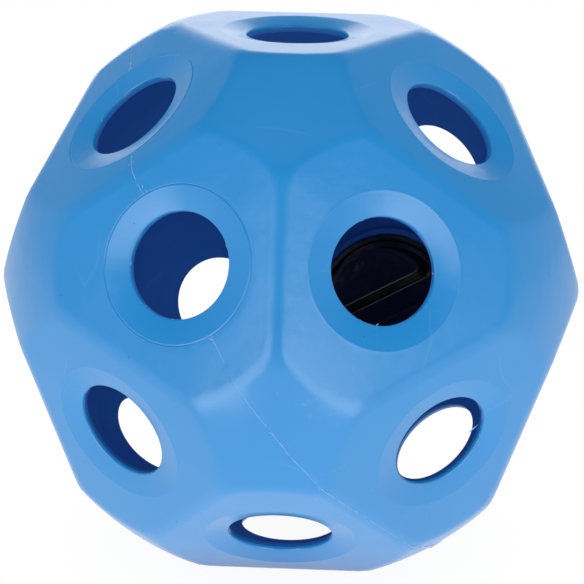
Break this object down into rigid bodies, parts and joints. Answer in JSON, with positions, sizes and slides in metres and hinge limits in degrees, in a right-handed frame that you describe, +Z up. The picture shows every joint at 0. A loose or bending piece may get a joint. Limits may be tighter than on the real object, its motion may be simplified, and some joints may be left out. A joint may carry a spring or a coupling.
{
  "type": "treat dispensing ball",
  "caption": "Hollow feeding ball with round-cornered flats, a dished round feed hole in each flat and a turn-in filling lid; it is rolled about to give out hay or treats.",
  "frame": {"origin": "centre of the flat that the ball stands on, on the floor", "axes": "+Z up, from that flat through the ball's centre to the flat on top; -Y towards the viewer of the picture; +X to the viewer's right"},
  "size_m": [0.3836, 0.3999, 0.3608],
  "materials": {
    "blue_polyethylene": "satin blow-moulded polyethylene, one colour throughout",
    "black_plastic": "semi-gloss injection-moulded plastic"
  },
  "bodies": {
    "ball": {"ball_shell": "blue_polyethylene"},
    "lid": {"filler_lid": "black_plastic"}
  },
  "joints": [
    {"name": "lid_lift", "type": "slide", "parent": "ball", "child": "lid", "axis": [0.3568, 0.8727, -0.3333], "range_m": [0, 0.1]}
  ]
}
